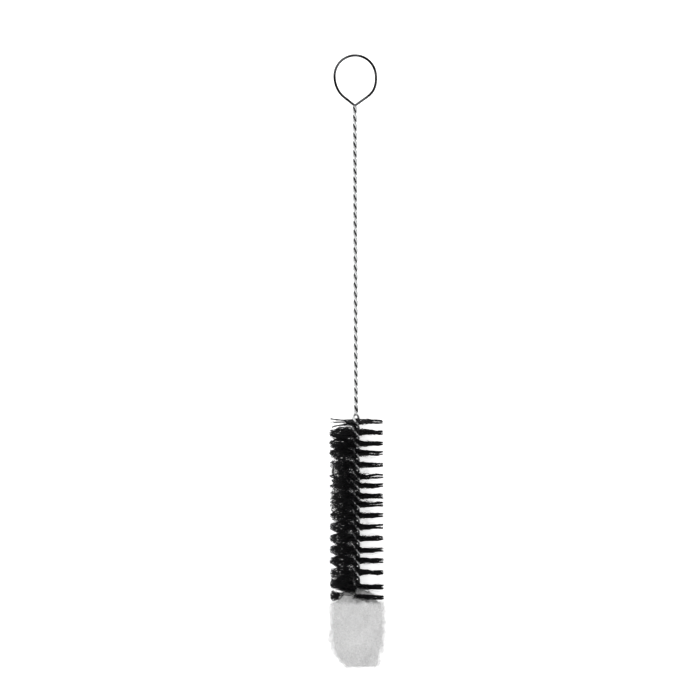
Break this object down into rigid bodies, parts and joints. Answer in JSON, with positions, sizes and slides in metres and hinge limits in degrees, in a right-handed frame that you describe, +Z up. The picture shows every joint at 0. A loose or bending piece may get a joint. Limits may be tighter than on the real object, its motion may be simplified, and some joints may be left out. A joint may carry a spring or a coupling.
{
  "type": "bottle brush",
  "caption": "Slim bottle and test-tube brush: twisted steel wire stem with a hanging loop, spaced rows of black bristles and a soft pale wool tip.",
  "frame": {"origin": "on the bench under the middle of the overall length, where the brush lies on the pressed underside of its bristles and wool", "axes": "+Y along the wire's axis from the wool tip to the hanging loop, +Z up from the bench, +X across towards the gathered side of the bristle rows"},
  "size_m": [0.0273, 0.3, 0.0267],
  "materials": {
    "steel_wire": "bright drawn wire",
    "bristle": "fine filaments, dull black",
    "wool": "loose fluffy fibre"
  },
  "bodies": {
    "root": {"twisted_wire": "steel_wire", "bristle_row_01": "bristle", "bristle_row_02": "bristle", "bristle_row_03": "bristle", "bristle_row_04": "bristle", "bristle_row_05": "bristle", "bristle_row_06": "bristle", "bristle_row_07": "bristle", "bristle_row_08": "bristle", "bristle_row_09": "bristle", "bristle_row_10": "bristle", "bristle_row_11": "bristle", "bristle_row_12": "bristle", "bristle_row_13": "bristle", "bristle_row_14": "bristle", "bristle_row_15": "bristle", "bristle_row_16": "bristle", "bristle_row_17": "bristle", "wool_tip": "wool"}
  },
  "joints": []
}
